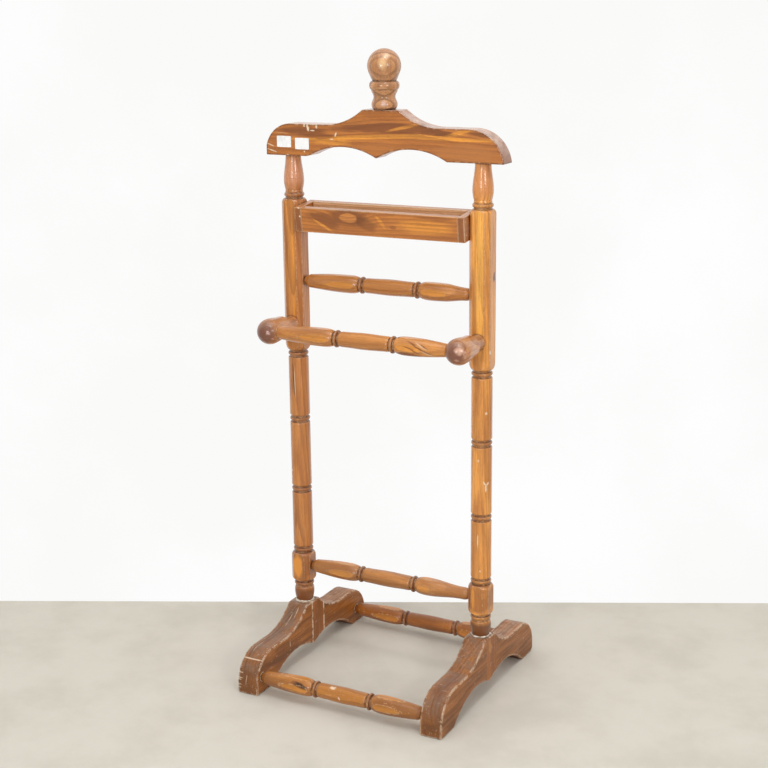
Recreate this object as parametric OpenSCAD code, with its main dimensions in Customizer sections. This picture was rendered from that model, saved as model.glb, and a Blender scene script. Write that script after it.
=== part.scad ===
// Clothes valet stand in turned and stained pine: two glued-up feet, two turned posts,
// five turned cross bars, a shallow tray, two arms, a hanger board and a ball finial.
// Front faces -Y, left is -X. The origin is on the floor, midway between the feet.

/* [Feet] */
// Length of each foot, front to back
foot_l = 400; // [360:1:440]
// Thickness of each foot, side to side
foot_t = 41; // [36:1:48]
// Height of the flat seat that a post stands on
foot_h = 107; // [98:1:116]
// Length of that flat seat along the foot
seat_l = 44; // [40:1:52]
// Height of the low stretches on both sides of the seat
foot_low_h = 71.5; // [64:0.5:78]
// Radius of the round shoulder at both ends
foot_end_r = 54; // [40:1:60]
// Radius of the rounded heel at the back of the sole
heel_r = 10; // [4:1:14]
// Distance along the foot over which the seat slopes down to the low stretch
slope_l = 81; // [66:1:90]
// Height of the two arches under the foot
arch_h = 35; // [30:0.5:40]
// Distance of each arch's highest point from the foot's middle
arch_offset = 59; // [54:1:62]
// Height of the point left standing between the arches
cusp_h = 21.5; // [18:0.5:26]
// Width of the upright centre block glued into each foot
core_w = 42; // [38:1:46]
// How far the left foot's centre block lies behind the foot's middle
core_back_left = 17; // [10:1:20]
// How far the right foot's centre block lies behind the foot's middle
core_back_right = 7; // [2:1:12]

/* [Posts] */
// Distance between the two post axes
post_gap = 362; // [330:1:400]
// How far the posts stand behind the middle of the feet
post_back = 4; // [0:1:8]
// Side of the square blocks left on the posts
block_w = 38.5; // [38:0.5:42]
// Corner chamfer of those blocks
block_chamfer = 8; // [5:0.5:9]
// Diameter of the turned shafts
shaft_d = 36.5; // [34:0.5:37.5]
// Diameter at the bottom of the grooves between the turned parts
groove_d = 31; // [30:0.5:33]
// Height of the round cup at the foot of each post
cup_h = 29; // [24:1:36]
// Diameter of the cup where it meets the foot
cup_d = 30; // [28:0.5:32]
// Height of each turned ring, with the grooves above and below its bead
ring_h = 12; // [9:1:14]
// Height of the half-round bead in the middle of each ring
bead_h = 6.5; // [4:0.5:8]
// Height of the lower square block
low_block_h = 56; // [50:1:66]
// Height of the lower shaft
low_shaft_h = 106; // [90:1:130]
// Height of the middle shaft
mid_shaft_h = 122; // [100:1:150]
// Height of the upper shaft
top_shaft_h = 110; // [90:1:130]
// Height of the long upper square block
top_block_h = 273; // [262:1:300]
// Height of the turned fade at the bottom of that block
block_fade_low = 15; // [8:1:20]
// Height of the turned fade at its top
block_fade_high = 9; // [5:1:14]
// Height of the vase-shaped neck under the hanger board
neck_h = 63; // [52:1:76]
// Diameter of the waist between that neck and the ring below it
waist_d = 29; // [26:0.5:31]
// Diameter of the neck where it meets the hanger board
neck_d = 27; // [24:0.5:30]

/* [Cross bars] */
// Diameter of the bars at both ends
bar_end_d = 22; // [20:0.5:23]
// Largest diameter of the swellings near both ends
bar_swell_d = 32.4; // [30.5:0.1:34]
// Diameter of the bars' middle stretch
bar_mid_d = 28.5; // [26:0.5:29.5]
// Diameter of the beads of the two rings on each bar
bar_ring_d = 30; // [25.5:0.1:30]
// Width of those beads
bar_bead_w = 6; // [4:0.5:8]
// Distance of each ring from the middle of the turned pattern
bar_ring_at = 53.4; // [48:0.1:60]
// Side of the square stock, whose flats still show on the swellings
bar_stock_w = 30; // [29.5:0.1:30.4]
// Height of the lower bar above the bottom of the lower block
low_bar_up = 30; // [26:1:34]
// Height of the middle bar above the bottom of the upper block
mid_bar_up = 127; // [110:1:140]
// Height of the front foot bar above the floor
front_bar_z = 31; // [28:0.5:34]
// Height of the rear foot bar above the floor
rear_bar_z = 29; // [27:0.5:34]
// Distance of the front foot bar from the middle of the feet
front_bar_y = 182; // [160:1:184]
// Distance of the rear foot bar from the middle of the feet
rear_bar_y = 166; // [150:1:180]
// How far the front foot bar's turned pattern lies right of its middle
front_bar_shift = 5; // [-8:0.5:8]
// How far the rear foot bar's pattern lies right of its middle
rear_bar_shift = 5; // [-8:0.5:8]
// How far the lower bar's pattern lies right of its middle
low_bar_shift = -3; // [-8:0.5:8]
// How far the middle bar's pattern lies right of its middle
mid_bar_shift = 7; // [-8:0.5:8]
// How far the trouser bar's pattern lies right of its middle
trouser_bar_shift = 7.5; // [-8:0.5:8]

/* [Arms] */
// Height of the arms above the bottom of the upper block
arm_up = 51; // [40:1:70]
// Distance from a post's front face to the centre of the arm's ball
arm_l = 74.5; // [62:0.5:90]
// Diameter of the arm's ball
arm_ball_d = 45; // [42:0.5:48]
// Diameter of the arm's neck at the post
arm_neck_d = 27; // [24:0.5:30]
// Length of that neck
arm_neck_l = 28; // [22:1:32]

/* [Tray] */
// Depth of the tray, front to back
tray_d = 56; // [50:1:64]
// Height of the tray's boards
tray_h = 43; // [36:1:50]
// Thickness of the tray's boards
tray_t = 12; // [10:0.5:14]
// Thickness of the tray's bottom panel
panel_t = 4; // [3:0.5:6]
// Depth of the groove that holds the bottom panel
panel_groove = 4; // [3:0.5:5]
// Distance from the top of the upper block down to the tray's centre
tray_drop = 30; // [26:1:60]
// How far the tray's centre lies in front of the post axis
tray_forward = 3; // [0:1:6]
// Forward sag of the tray, in degrees
tray_tilt = 7; // [0:0.5:9]

/* [Hanger board] */
// Length of the hanger board
hanger_l = 450; // [430:1:480]
// Thickness of the hanger board
hanger_t = 35; // [32:0.5:40]
// Height of the hanger board's shoulders
shoulder_h = 55; // [50:1:60]
// Height of the flat crown under the finial
crown_h = 82; // [76:1:88]
// Length of that crown
crown_l = 68; // [60:1:76]
// Distance from the crown's middle to where its slope runs out on the shoulder
crown_run = 108; // [96:1:116]
// Height of the square end on the left
left_end_h = 16; // [13:1:20]
// Radius of the rounding above the left end
left_end_r = 50; // [44:1:60]
// Radius of the rounding at the right end
right_end_r = 62; // [56:1:80]
// Height of the two arches cut in the underside
scallop_h = 18; // [15:0.5:20]
// Distance from each arch's highest point to the point between them
scallop_offset = 65; // [58:1:66]
// Height of that point above the underside
scallop_cusp_h = 1; // [0.5:0.5:4]
// How far that point lies left of the middle
scallop_left = 9; // [0:1:12]
// Radius that blends the left arch into the underside
scallop_blend_r = 32; // [20:1:40]

/* [Finial] */
// Height of the finial above the crown
finial_h = 100; // [92:1:110]
// Diameter of the ball
ball_d = 57; // [52:0.5:62]
// Diameter of the collar under the ball
collar_d = 51; // [46:0.5:54]
// Diameter of the hollow below the collar
cove_d = 36.8; // [32:0.1:40]
// Diameter of the finial's flared foot
flare_d = 44; // [41:0.5:50]

/* [Joinery] */
// Diameter of the bars' tenons
tenon_d = 14; // [12:0.5:16]
// Length of the bars' tenons
tenon_l = 16; // [12:1:18]
// Diameter of the post's tenon in the foot
post_tenon_d = 22; // [18:0.5:24]
// Length of the post's tenon in the foot
post_tenon_l = 38; // [28:1:40]
// Diameter of the post's tenon in the hanger board
top_tenon_d = 16; // [14:0.5:18]
// Length of the post's tenon in the hanger board
top_tenon_l = 28; // [20:1:32]
// How far the trouser bar's plain ends reach past the skin of the arms' balls
trouser_end_l = 12; // [8:0.5:14]
// Diameter of the loose dowels in arms and finial
dowel_d = 10; // [8:0.5:12]
// Length of the loose dowels in arms and finial
dowel_l = 48; // [40:1:54]
// Diameter of the small dowels in the feet
foot_dowel_d = 8; // [6:0.5:9]
// Length of the small dowels in the feet
foot_dowel_l = 36; // [28:1:40]
// Height of the small dowels in the feet above the floor
foot_dowel_z = 50; // [46:1:54]
// Distance between the two small dowels of one joint
foot_dowel_gap = 18; // [14:1:22]
// Shank diameter of the tray's screws
screw_d = 4; // [3:0.5:5]
// Length of the tray's screws
screw_l = 32; // [26:1:36]
// Diameter of the tray's panel pins
pin_d = 1.8; // [1.4:0.1:2.2]
// Length of the tray's panel pins
pin_l = 30; // [24:1:34]
// Gap between a peg and its hole, all round
peg_gap = 0.1; // [0.05:0.05:0.2]
// Extra depth of each blind hole for the glue
glue_depth = 1; // [0.5:0.5:2]

/* [Hidden] */
$fn = 96;
STEPS = 8;
CUT = 1;

post_x = post_gap / 2;
block_half = block_w / 2;
inner_x = post_x - block_half;
foot_inner_x = post_x - foot_t / 2;

// Heights of the post's parts above its foot
cup_top = cup_h;
low_block_z = cup_top + ring_h;
low_block_top = low_block_z + low_block_h;
low_shaft_z = low_block_top + ring_h;
low_shaft_top = low_shaft_z + low_shaft_h;
mid_shaft_z = low_shaft_top + ring_h;
mid_shaft_top = mid_shaft_z + mid_shaft_h;
top_shaft_z = mid_shaft_top + ring_h;
top_shaft_top = top_shaft_z + top_shaft_h;
top_block_z = top_shaft_top + ring_h;
top_block_top = top_block_z + top_block_h;
neck_z = top_block_top + ring_h;
post_l = neck_z + neck_h;

// Heights above the floor
low_bar_z = foot_h + low_block_z + low_bar_up;
mid_bar_z = foot_h + top_block_z + mid_bar_up;
arm_z = foot_h + top_block_z + arm_up;
tray_z = foot_h + top_block_top - tray_drop;
hanger_z = foot_h + post_l;
crown_z = hanger_z + crown_h;

post_front_y = post_back - block_half;
trouser_y = post_front_y - arm_l;
tray_y = post_back - tray_forward;

// Turned radii of a post
shaft_r = shaft_d / 2;
groove_r = groove_d / 2;
block_corner_r = sqrt(pow(block_half, 2) + pow(block_half - block_chamfer, 2)) + 0.1;
low_block_fade = 0.14 * low_block_h;
cup_full_h = 0.72 * cup_h;
edge_round = 3;
peg_chamfer = 1;
neck_belly_h = 0.3 * neck_h;
belly_r = shaft_r - 0.5;

// Turned shape of a bar
bar_groove_w = 2.2;
bar_ring_w = bar_bead_w + 2 * bar_groove_w;
bar_groove_r = bar_end_d / 2;
bar_swell_from_ring = 27;
bar_mid_taper = 1;
bar_mid_shoulder = 6;

// Arms: the turned radii, the rim of the hole for the trouser bar, the middle of the loose dowel
ball_r = arm_ball_d / 2;
arm_taper = 3;
arm_shoulder_l = 9;
arm_shoulder_r = ball_r - arm_taper;
arm_shoulder_z = arm_neck_l + arm_shoulder_l;
trouser_skin_x = post_x - sqrt(ball_r * ball_r - bar_end_d * bar_end_d / 4);
arm_dowel_y = post_front_y - 0.04 * dowel_l;

finial_groove_z = 0.47 * finial_h;
finial_groove_r = 0.71 * ball_d / 2;
collar_z = 0.4 * finial_h;
collar_low_z = 0.33 * finial_h;
collar_lip = 3;
cove_z = 0.21 * finial_h;
finial_foot_r = cove_d / 2 - 1.5;
flare_z = 0.086 * finial_h;
ball_z = finial_h - ball_d / 2;
ball_low_angle = 23;

// Hanger board: a hair of overlap, so that the arcs cross and don't just touch
blend_bite = 0.05;

tray_l = 2 * inner_x;
rail_l = tray_l - 2 * tray_t;
panel_lift = 5;
panel_z = panel_lift - tray_h / 2;
screw_head_r = screw_d;
screw_rim = 0.6;
pin_sink = 0.2;
pin_rows = [-0.22 * tray_h, 0.3 * tray_h];

foot_dowel_bore = foot_dowel_d + 2 * peg_gap;
dowel_bore = dowel_d + 2 * peg_gap;

HONEY = [0.72, 0.42, 0.17];
AMBER = [0.66, 0.37, 0.15];
BROWN = [0.45, 0.26, 0.14];
BEECH = [0.82, 0.66, 0.46];
STEEL = [0.62, 0.62, 0.60];

// ---- curves for turned outlines, as [radius, height] points after point a up to point b ----

// A straight run along the axis that swells or shrinks softly at both ends
function ease(a, b) = [for (i = [1 : STEPS]) let (t = i / STEPS)
    [a[0] + (b[0] - a[0]) * (1 - cos(180 * t)) / 2, a[1] + (b[1] - a[1]) * t]];

// A quarter of an ellipse that leaves a square to the axis and reaches b along it
function quarter_out(a, b) = [for (i = [1 : STEPS]) let (t = 90 * i / STEPS)
    [a[0] + (b[0] - a[0]) * sin(t), a[1] + (b[1] - a[1]) * (1 - cos(t))]];

// A quarter of an ellipse that leaves a along the axis and reaches b square to it
function quarter_in(a, b) = [for (i = [1 : STEPS]) let (t = 90 * i / STEPS)
    [b[0] + (a[0] - b[0]) * cos(t), a[1] + (b[1] - a[1]) * sin(t)]];

// A swelling that rises fast from a and is level at b
function swell(a, b) = [for (i = [1 : STEPS]) let (t = i / STEPS)
    [a[0] + (b[0] - a[0]) * sin(90 * t), a[1] + (b[1] - a[1]) * t]];

// A ring from height z to z + h: a half-round bead that stands from radius r out to radius top,
// with a flat groove left above and below it
function ring(z, h, bead, r, top) = let (low = z + (h - bead) / 2)
    concat(
        [[r, z]],
        [for (i = [0 : 2 * STEPS]) let (t = 90 * i / STEPS)
            [r + (top - r) * sin(t), low + bead * (1 - cos(t)) / 2]],
        [[r, z + h]]);

function mirrored(points) = [for (i = [len(points) - 1 : -1 : 0]) [points[i][0], -points[i][1]]];

function round_through(run, rise) = (run * run + rise * rise) / (2 * rise);

// ---- feet ----

// Side outline of a foot: x runs from front to back, y is the height
module foot_outline() {
    half = foot_l / 2;
    seat_half = seat_l / 2;
    slope_end = seat_half + slope_l;
    slope_r = round_through(slope_l, foot_h - foot_low_h);
    arch_r = round_through(arch_offset, arch_h - cusp_h);
    difference() {
        union() {
            intersection() {
                union() {
                    translate([-half, 0]) square([foot_l, foot_low_h - foot_end_r]);
                    translate([foot_end_r - half, 0]) square([foot_l - 2 * foot_end_r, foot_low_h]);
                    for (side = [-1, 1])
                        translate([side * (half - foot_end_r), foot_low_h - foot_end_r])
                            circle(r = foot_end_r);
                }
                translate([-half, 0]) square([foot_l, foot_low_h]);
            }
            difference() {
                translate([-slope_end, foot_low_h - CUT]) square([2 * slope_end, foot_h - foot_low_h + CUT]);
                for (side = [-1, 1])
                    translate([side * slope_end, foot_low_h + slope_r]) circle(r = slope_r);
            }
        }
        for (side = [-1, 1])
            translate([side * arch_offset, arch_h - arch_r]) circle(r = arch_r);
        difference() {
            translate([half - heel_r, -CUT]) square([heel_r + CUT, heel_r + CUT]);
            translate([half - heel_r, heel_r]) circle(r = heel_r);
        }
    }
}

// Places the middle of a foot's centre block for one side
function core_y(side) = side < 0 ? core_back_left : core_back_right;

// The four small dowels of one foot, or their holes when the diameter and length are larger
module foot_dowel_set(side, d, l) {
    for (joint = [-1, 1], row = [-1, 1])
        translate([side * post_x + row * foot_dowel_gap / 2, core_y(side) + joint * core_w / 2, foot_dowel_z])
            rotate([90, 0, 0]) cylinder(d = d, h = l, center = true);
}

// Everything bored into a foot
module foot_bores(side) {
    translate([side * post_x, post_back, foot_h - post_tenon_l - glue_depth])
        cylinder(d = post_tenon_d + 2 * peg_gap, h = post_tenon_l + glue_depth + CUT);
    foot_dowel_set(side, foot_dowel_bore, foot_dowel_l + 2 * glue_depth);
    for (spot = [[-front_bar_y, front_bar_z], [rear_bar_y, rear_bar_z]])
        translate([side * foot_inner_x, spot[0], spot[1]])
            rotate([0, side * 90, 0]) translate([0, 0, -CUT])
                cylinder(d = tenon_d + 2 * peg_gap, h = tenon_l + glue_depth + CUT);
}

// The part of a foot between two places along it
module foot_piece(side, from_y, to_y, shade) {
    color(shade) difference() {
        intersection() {
            translate([side * post_x - foot_t / 2, 0, 0]) rotate([90, 0, 90])
                linear_extrude(height = foot_t) foot_outline();
            translate([side * post_x - foot_t, from_y, -CUT])
                cube([2 * foot_t, to_y - from_y, foot_h + 2 * CUT]);
        }
        foot_bores(side);
    }
}

module foot_front(side) {
    foot_piece(side, -foot_l / 2 - CUT, core_y(side) - core_w / 2, BROWN);
}

module foot_core(side) {
    foot_piece(side, core_y(side) - core_w / 2, core_y(side) + core_w / 2, BROWN);
}

module foot_rear(side) {
    foot_piece(side, core_y(side) + core_w / 2, foot_l / 2 + CUT, BROWN);
}

module foot_dowels(side) {
    color(BEECH) foot_dowel_set(side, foot_dowel_d, foot_dowel_l);
}

// ---- turned cross bars ----

// Outline of half a bar, from the middle of the pattern to its end
function half_bar(end_z) = let (
    mid_r = bar_mid_d / 2,
    ring_r = bar_ring_d / 2,
    swell_r = bar_swell_d / 2,
    ring_in = bar_ring_at - bar_ring_w / 2,
    ring_out = bar_ring_at + bar_ring_w / 2,
    swell_z = bar_ring_at + bar_swell_from_ring,
    mid_end = [mid_r - bar_mid_taper, ring_in - bar_mid_shoulder])
    concat(
        ease([mid_r, 0], mid_end),
        quarter_in(mid_end, [bar_groove_r, ring_in]),
        ring(ring_in, bar_ring_w, bar_bead_w, bar_groove_r, ring_r),
        quarter_out([bar_groove_r, ring_out], [swell_r, swell_z]),
        mirrored(swell([bar_end_d / 2, -end_z], [swell_r, -swell_z])));

// Plain round tenon at height z, pointing up, with its end chamfered
function tenon_points(z, r, l) =
    [[r, z], [r, z + l - peg_chamfer], [r - peg_chamfer, z + l], [0, z + l]];

// A bar along +Z, centred, with the pattern moved by shift and a peg of radius peg_r on both ends
module bar(length, shift, peg_r, peg_l) {
    right = length / 2 - shift;
    left = length / 2 + shift;
    outline = concat(
        mirrored(tenon_points(left, peg_r, peg_l)),
        mirrored(half_bar(left)),
        half_bar(right),
        tenon_points(right, peg_r, peg_l));
    intersection() {
        translate([0, 0, shift]) rotate_extrude() polygon(outline);
        cube([bar_stock_w, bar_stock_w, length + 2 * peg_l + CUT], center = true);
    }
}

// A bar that runs from left to right at a given place
module cross_bar(length, shift, y, z, peg_r, peg_l, shade) {
    color(shade) translate([0, y, z]) rotate([0, 90, 0]) bar(length, shift, peg_r, peg_l);
}

module front_foot_bar() {
    cross_bar(2 * foot_inner_x, front_bar_shift, -front_bar_y, front_bar_z, tenon_d / 2, tenon_l, BROWN);
}

module rear_foot_bar() {
    cross_bar(2 * foot_inner_x, rear_bar_shift, rear_bar_y, rear_bar_z, tenon_d / 2, tenon_l, BROWN);
}

module lower_bar() {
    cross_bar(2 * inner_x, low_bar_shift, post_back, low_bar_z, tenon_d / 2, tenon_l, AMBER);
}

module middle_bar() {
    cross_bar(2 * inner_x, mid_bar_shift, post_back, mid_bar_z, tenon_d / 2, tenon_l, HONEY);
}

// The trouser bar's plain ends run into the balls of the arms
module trouser_bar() {
    cross_bar(2 * trouser_skin_x, trouser_bar_shift, trouser_y, arm_z, bar_end_d / 2, trouser_end_l, HONEY);
}

// ---- posts ----

// Square section with its corners cut off
module chamfered_square(w, c) {
    h = w / 2;
    k = w / 2 - c;
    polygon([[k, -h], [h, -k], [h, k], [k, h], [-k, h], [-h, k], [-h, -k], [-k, -h]]);
}

// A turned shaft between two grooves, its edges softly rounded
function shaft(z, top) = concat(
    [[groove_r, z]],
    quarter_out([groove_r, z], [shaft_r, z + edge_round]),
    quarter_in([shaft_r, top - edge_round], [groove_r, top]));

// The round shoulders that the lathe leaves at both ends of a square block
function block_stretch(z, top, fade_low, fade_high) = concat(
    [[groove_r, z]],
    quarter_out([groove_r, z], [block_corner_r, z + fade_low]),
    quarter_in([block_corner_r, top - fade_high], [groove_r, top]));

// A post's ring at height z, its bead of radius r
function post_ring(z, r) = ring(z, ring_h, bead_h, groove_r, r);

// Turned outline of a whole post, with a tenon at both ends
post_outline = concat(
    mirrored(tenon_points(0, post_tenon_d / 2, post_tenon_l)),
    [[cup_d / 2, 0]],
    swell([cup_d / 2, 0], [shaft_r, cup_full_h]),
    quarter_in([shaft_r, cup_full_h], [groove_r, cup_top]),
    post_ring(cup_top, shaft_r),
    block_stretch(low_block_z, low_block_top, low_block_fade, low_block_fade),
    post_ring(low_block_top, shaft_r),
    shaft(low_shaft_z, low_shaft_top),
    post_ring(low_shaft_top, shaft_r),
    shaft(mid_shaft_z, mid_shaft_top),
    post_ring(mid_shaft_top, shaft_r),
    shaft(top_shaft_z, top_shaft_top),
    post_ring(top_shaft_top, shaft_r),
    block_stretch(top_block_z, top_block_top, block_fade_low, block_fade_high),
    post_ring(top_block_top, belly_r),
    swell([waist_d / 2, neck_z], [belly_r, neck_z + neck_belly_h]),
    ease([belly_r, neck_z + neck_belly_h], [neck_d / 2, post_l]),
    tenon_points(post_l, top_tenon_d / 2, top_tenon_l));

module post(side) {
    color(HONEY) difference() {
        translate([side * post_x, post_back, foot_h]) intersection() {
            rotate_extrude() polygon(post_outline);
            translate([0, 0, -post_tenon_l - CUT])
                linear_extrude(height = post_l + post_tenon_l + top_tenon_l + 2 * CUT)
                    chamfered_square(block_w, block_chamfer);
        }
        for (z = [low_bar_z, mid_bar_z])
            translate([side * inner_x, post_back, z]) rotate([0, side * 90, 0]) translate([0, 0, -CUT])
                cylinder(d = tenon_d + 2 * peg_gap, h = tenon_l + glue_depth + CUT);
        arm_dowel_hole(side);
        tray_screw(side, peg_gap);
    }
}

// ---- arms ----

module arm_dowel(side, d, l) {
    translate([side * post_x, arm_dowel_y, arm_z]) rotate([90, 0, 0]) cylinder(d = d, h = l, center = true);
}

module arm_dowel_hole(side) {
    arm_dowel(side, dowel_bore, dowel_l + 2 * glue_depth);
}

// Turned outline of an arm, from the post's face to the ball's front
arm_outline = concat(
    [[0, 0], [arm_neck_d / 2, 0], [arm_neck_d / 2, arm_neck_l]],
    quarter_out([arm_neck_d / 2, arm_neck_l], [arm_shoulder_r, arm_shoulder_z]),
    ease([arm_shoulder_r, arm_shoulder_z], [ball_r, arm_l]),
    [for (i = [1 : 2 * STEPS]) let (t = 90 * i / (2 * STEPS)) [ball_r * cos(t), arm_l + ball_r * sin(t)]]);

module arm(side) {
    color(HONEY) difference() {
        translate([side * post_x, post_front_y, arm_z]) rotate([90, 0, 0])
            rotate_extrude() polygon(arm_outline);
        arm_dowel_hole(side);
        translate([side * (trouser_skin_x - CUT), trouser_y, arm_z]) rotate([0, side * 90, 0])
            cylinder(d = bar_end_d + 2 * peg_gap, h = trouser_end_l + glue_depth + CUT);
    }
}

module arm_dowels() {
    color(BEECH) for (side = [-1, 1]) arm_dowel(side, dowel_d, dowel_l);
}

// ---- tray ----

// Moves the tray's own frame to its place, with its forward sag
module at_tray() {
    translate([0, tray_y, tray_z]) rotate([tray_tilt, 0, 0]) children();
}

// Bottom panel with room around it when gap is not zero
module panel_block(gap) {
    w = rail_l + 2 * panel_groove + 2 * gap;
    d = tray_d - 2 * tray_t + 2 * panel_groove + 2 * gap;
    translate([0, 0, panel_z + panel_t / 2]) cube([w, d, panel_t + 2 * gap], center = true);
}

// One countersunk screw through an end board into a post, made larger by gap for its hole
module tray_screw(side, gap) {
    head_x = inner_x - tray_t;
    head_r = screw_head_r + gap;
    shank_r = screw_d / 2 + gap;
    rim = screw_rim + 2 * gap;
    at_tray() translate([side * (head_x - gap), 0, 0]) rotate([0, side * 90, 0]) rotate_extrude()
        polygon([
            [0, 0], [head_r, 0], [head_r, rim], [shank_r, rim + head_r - shank_r],
            [shank_r, screw_l - screw_d / 2], [0, screw_l + 2 * gap]]);
}

// Pins through the end boards into the rails, two at each corner
module pin_set(gap) {
    at_tray() for (side = [-1, 1], rail = [-1, 1], row = pin_rows)
        translate([side * (tray_l / 2 - pin_l / 2 - pin_sink), rail * (tray_d - tray_t) / 2, row])
            rotate([0, 90, 0]) cylinder(d = pin_d + 2 * gap, h = pin_l + 2 * gap, center = true);
}

module tray_rail(rail) {
    color(HONEY) difference() {
        at_tray() translate([0, rail * (tray_d - tray_t) / 2, 0])
            cube([rail_l, tray_t, tray_h], center = true);
        at_tray() panel_block(peg_gap);
        pin_set(peg_gap);
    }
}

module tray_end(side) {
    color(AMBER) difference() {
        at_tray() translate([side * (tray_l - tray_t) / 2, 0, 0])
            cube([tray_t, tray_d, tray_h], center = true);
        at_tray() panel_block(peg_gap);
        pin_set(peg_gap);
        tray_screw(side, peg_gap);
    }
}

module tray_bottom() {
    color(HONEY) at_tray() panel_block(0);
}

module tray_screws() {
    color(STEEL) for (side = [-1, 1]) tray_screw(side, 0);
}

module tray_pins() {
    color(STEEL) pin_set(0);
}

// ---- hanger board and finial ----

// Front outline of the hanger board: x runs to the right, y is the height above its underside
module hanger_outline() {
    half = hanger_l / 2;
    crown_half = crown_l / 2;
    crown_r = round_through(crown_run - crown_half, crown_h - shoulder_h);
    left_rise = shoulder_h - left_end_h;
    left_run = sqrt(2 * left_end_r * left_rise - left_rise * left_rise);
    right_run = sqrt(2 * right_end_r * shoulder_h - shoulder_h * shoulder_h);
    scallop_r = round_through(scallop_offset, scallop_h - scallop_cusp_h);
    blend_y = scallop_blend_r - blend_bite + scallop_r - scallop_h;
    blend_reach = sqrt(pow(scallop_r + scallop_blend_r - blend_bite, 2) - blend_y * blend_y);
    touch = scallop_r / (scallop_r + scallop_blend_r);
    difference() {
        union() {
            translate([left_run - half, 0]) square([hanger_l - left_run - right_run, shoulder_h]);
            intersection() {
                translate([-half, 0]) square([half, shoulder_h]);
                translate([left_run - half, shoulder_h - left_end_r]) circle(r = left_end_r);
            }
            translate([-half, 0]) square([left_run + CUT, left_end_h - CUT]);
            intersection() {
                square([half, shoulder_h]);
                translate([half - right_run, shoulder_h - right_end_r]) circle(r = right_end_r);
            }
            difference() {
                translate([-crown_run, shoulder_h - CUT]) square([2 * crown_run, crown_h - shoulder_h + CUT]);
                for (side = [-1, 1])
                    translate([side * crown_run, shoulder_h + crown_r]) circle(r = crown_r);
            }
        }
        translate([-scallop_left, 0]) {
            for (side = [-1, 1])
                translate([side * scallop_offset, scallop_h - scallop_r]) circle(r = scallop_r);
            // Soft run-out of the left arch
            difference() {
                translate([-scallop_offset - blend_reach, -CUT])
                    square([blend_reach * (1 - touch), blend_y * touch - scallop_r + scallop_h + CUT]);
                translate([-scallop_offset - blend_reach, scallop_blend_r - blend_bite])
                    circle(r = scallop_blend_r);
            }
        }
    }
}

module hanger_board() {
    color(AMBER) difference() {
        translate([0, post_back + hanger_t / 2, hanger_z]) rotate([90, 0, 0])
            linear_extrude(height = hanger_t) hanger_outline();
        for (side = [-1, 1])
            translate([side * post_x, post_back, hanger_z - CUT])
                cylinder(d = top_tenon_d + 2 * peg_gap, h = top_tenon_l + glue_depth + CUT);
        finial_dowel_peg(dowel_bore, dowel_l + 2 * glue_depth);
    }
}

module finial_dowel_peg(d, l) {
    translate([0, post_back, crown_z]) cylinder(d = d, h = l, center = true);
}

module finial_dowel() {
    color(BEECH) finial_dowel_peg(dowel_d, dowel_l);
}

// Turned outline of the finial, from the crown up to the top of the ball
finial_outline = concat(
    [[0, 0], [finial_foot_r, 0]],
    quarter_out([finial_foot_r, 0], [flare_d / 2, flare_z]),
    ease([flare_d / 2, flare_z], [cove_d / 2, cove_z]),
    ease([cove_d / 2, cove_z], [collar_d / 2 - collar_lip, collar_low_z]),
    quarter_out([collar_d / 2 - collar_lip, collar_low_z], [collar_d / 2, collar_z]),
    quarter_in([collar_d / 2, collar_z], [finial_groove_r, finial_groove_z]),
    [for (i = [0 : 3 * STEPS]) let (t = -ball_low_angle + (90 + ball_low_angle) * i / (3 * STEPS))
        [ball_d / 2 * cos(t), ball_z + ball_d / 2 * sin(t)]]);

module finial() {
    color(AMBER) difference() {
        translate([0, post_back, crown_z]) rotate_extrude() polygon(finial_outline);
        finial_dowel_peg(dowel_bore, dowel_l + 2 * glue_depth);
    }
}

foot_front(-1);  // left_foot_front
foot_core(-1);  // left_foot_core
foot_rear(-1);  // left_foot_rear
foot_dowels(-1);  // left_foot_dowels
foot_front(1);  // right_foot_front
foot_core(1);  // right_foot_core
foot_rear(1);  // right_foot_rear
foot_dowels(1);  // right_foot_dowels
front_foot_bar();
rear_foot_bar();
post(-1);  // left_post
post(1);  // right_post
lower_bar();
middle_bar();
arm(-1);  // left_arm
arm(1);  // right_arm
arm_dowels();
trouser_bar();
tray_rail(-1);  // tray_front
tray_rail(1);  // tray_back
tray_end(-1);  // tray_left_end
tray_end(1);  // tray_right_end
tray_bottom();
tray_screws();
tray_pins();
hanger_board();
finial_dowel();
finial();
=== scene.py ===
import math

import bmesh
import bpy
from mathutils import Euler, Matrix, Vector, noise


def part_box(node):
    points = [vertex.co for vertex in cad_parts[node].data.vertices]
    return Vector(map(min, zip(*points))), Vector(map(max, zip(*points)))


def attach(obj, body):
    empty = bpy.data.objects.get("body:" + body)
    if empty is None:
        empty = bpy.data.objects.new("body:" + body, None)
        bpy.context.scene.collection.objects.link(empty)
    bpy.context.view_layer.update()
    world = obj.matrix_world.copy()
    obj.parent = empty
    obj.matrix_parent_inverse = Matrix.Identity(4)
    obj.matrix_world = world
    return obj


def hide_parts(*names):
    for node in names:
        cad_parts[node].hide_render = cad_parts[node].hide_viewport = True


# A clothes valet stand in turned and stained pine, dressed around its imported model.
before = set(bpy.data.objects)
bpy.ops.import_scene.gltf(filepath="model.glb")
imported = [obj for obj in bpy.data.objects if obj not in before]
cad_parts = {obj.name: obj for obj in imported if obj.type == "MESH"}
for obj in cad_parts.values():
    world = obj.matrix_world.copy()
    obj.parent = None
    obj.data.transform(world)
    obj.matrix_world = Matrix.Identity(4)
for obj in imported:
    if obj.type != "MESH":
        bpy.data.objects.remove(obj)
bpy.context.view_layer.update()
print("frame loaded:", len(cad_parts), "nodes")

mm = 0.001


# Colours are written as the eye reads them, 0 to 255
def shade(red, green, blue):
    def linear(level):
        level /= 255
        return level / 12.92 if level < 0.04045 else ((level + 0.055) / 1.055) ** 2.4
    return linear(red), linear(green), linear(blue), 1


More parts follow.
